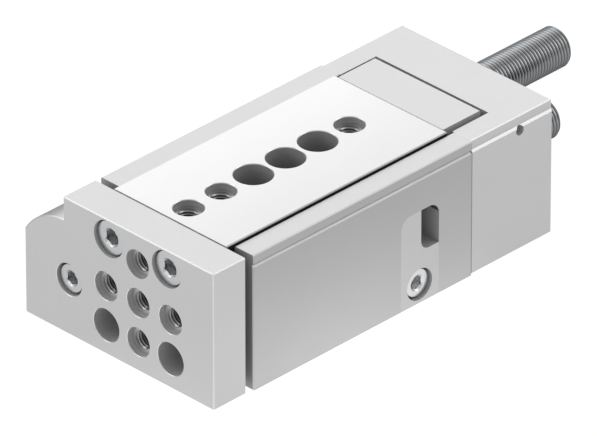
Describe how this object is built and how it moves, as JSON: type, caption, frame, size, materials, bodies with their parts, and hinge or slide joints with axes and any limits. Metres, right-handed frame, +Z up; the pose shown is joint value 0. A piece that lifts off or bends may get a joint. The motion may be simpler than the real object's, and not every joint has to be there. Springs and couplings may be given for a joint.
{
  "type": "pneumatic mini slide",
  "caption": "Compact pneumatic linear slide: a flat table on a caged ball guide, driven through a front yoke by a cylinder in the housing's side lobe, with adjustable end stops.",
  "frame": {"origin": "on the mounting face, midway between the two mounting holes, in the middle plane of the guide", "axes": "+X the way the slide runs out, +Y towards the side with the stop window, +Z up out of the table"},
  "size_m": [0.1424, 0.0589, 0.0353],
  "materials": {
    "anodised_aluminium": "fine satin, clear anodised",
    "ground_steel": "hardened and ground",
    "plated_steel": "zinc plated, bright",
    "stud_steel": "grey plated thread",
    "chromed_steel": "hard chromed and polished",
    "spring_steel": "phosphated",
    "bush_bronze": "sintered",
    "seal_rubber": "moulded",
    "guide_plastic": "moulded",
    "magnet_ferrite": "sintered, bare"
  },
  "bodies": {
    "housing_body": {"housing": "anodised_aluminium", "outer_rail_left": "ground_steel", "outer_rail_right": "ground_steel", "gland": "anodised_aluminium", "gland_o_ring": "seal_rubber", "gland_circlip": "spring_steel", "rod_bush": "bush_bronze", "rod_seal": "seal_rubber", "cylinder_plug": "anodised_aluminium", "plug_o_ring": "seal_rubber", "end_cap": "anodised_aluminium", "end_cap_screws": "plated_steel", "port_plugs": "plated_steel", "duct_plug": "chromed_steel", "stop_insert": "ground_steel", "stop_insert_screw": "plated_steel", "retract_stop": "stud_steel", "retract_lock_nut": "plated_steel"},
    "slide": {"slide_table": "anodised_aluminium", "inner_rail_left": "ground_steel", "inner_rail_right": "ground_steel", "stop_block": "anodised_aluminium", "stop_block_screws": "plated_steel", "yoke_plate": "anodised_aluminium", "yoke_screws": "plated_steel", "rod_screw": "plated_steel", "piston_rod": "chromed_steel", "piston": "anodised_aluminium", "piston_nut": "plated_steel", "piston_seal_front": "seal_rubber", "piston_seal_rear": "seal_rubber", "piston_guide_ring": "guide_plastic", "piston_magnet": "magnet_ferrite", "advance_stop": "stud_steel", "advance_lock_nut": "plated_steel"},
    "left_cage": {"cage_left": "guide_plastic", "balls_left": "chromed_steel"},
    "right_cage": {"cage_right": "guide_plastic", "balls_right": "chromed_steel"},
    "retract_pin": {"retract_plunger": "chromed_steel"},
    "advance_pin": {"advance_plunger": "chromed_steel"}
  },
  "joints": [
    {"name": "slide_travel", "type": "slide", "parent": "housing_body", "child": "slide", "axis": [1, 0, 0], "range_m": [0, 0.01]},
    {"name": "left_cage_travel", "type": "slide", "parent": "housing_body", "child": "left_cage", "axis": [1, 0, 0], "range_m": [0, 0.005]},
    {"name": "right_cage_travel", "type": "slide", "parent": "housing_body", "child": "right_cage", "axis": [1, 0, 0], "range_m": [0, 0.005]},
    {"name": "retract_stop_travel", "type": "slide", "parent": "housing_body", "child": "retract_pin", "axis": [1, 0, 0], "range_m": [-0.0035, 0], "stiffness_N_per_m": 600, "springref_m": 0.002},
    {"name": "advance_stop_travel", "type": "slide", "parent": "slide", "child": "advance_pin", "axis": [1, 0, 0], "range_m": [-0.0035, 0], "stiffness_N_per_m": 600, "springref_m": 0.002}
  ],
  "couplings": [
    {"joint": "left_cage_travel", "follows": "slide_travel", "ratio": 0.5},
    {"joint": "right_cage_travel", "follows": "slide_travel", "ratio": 0.5}
  ]
}
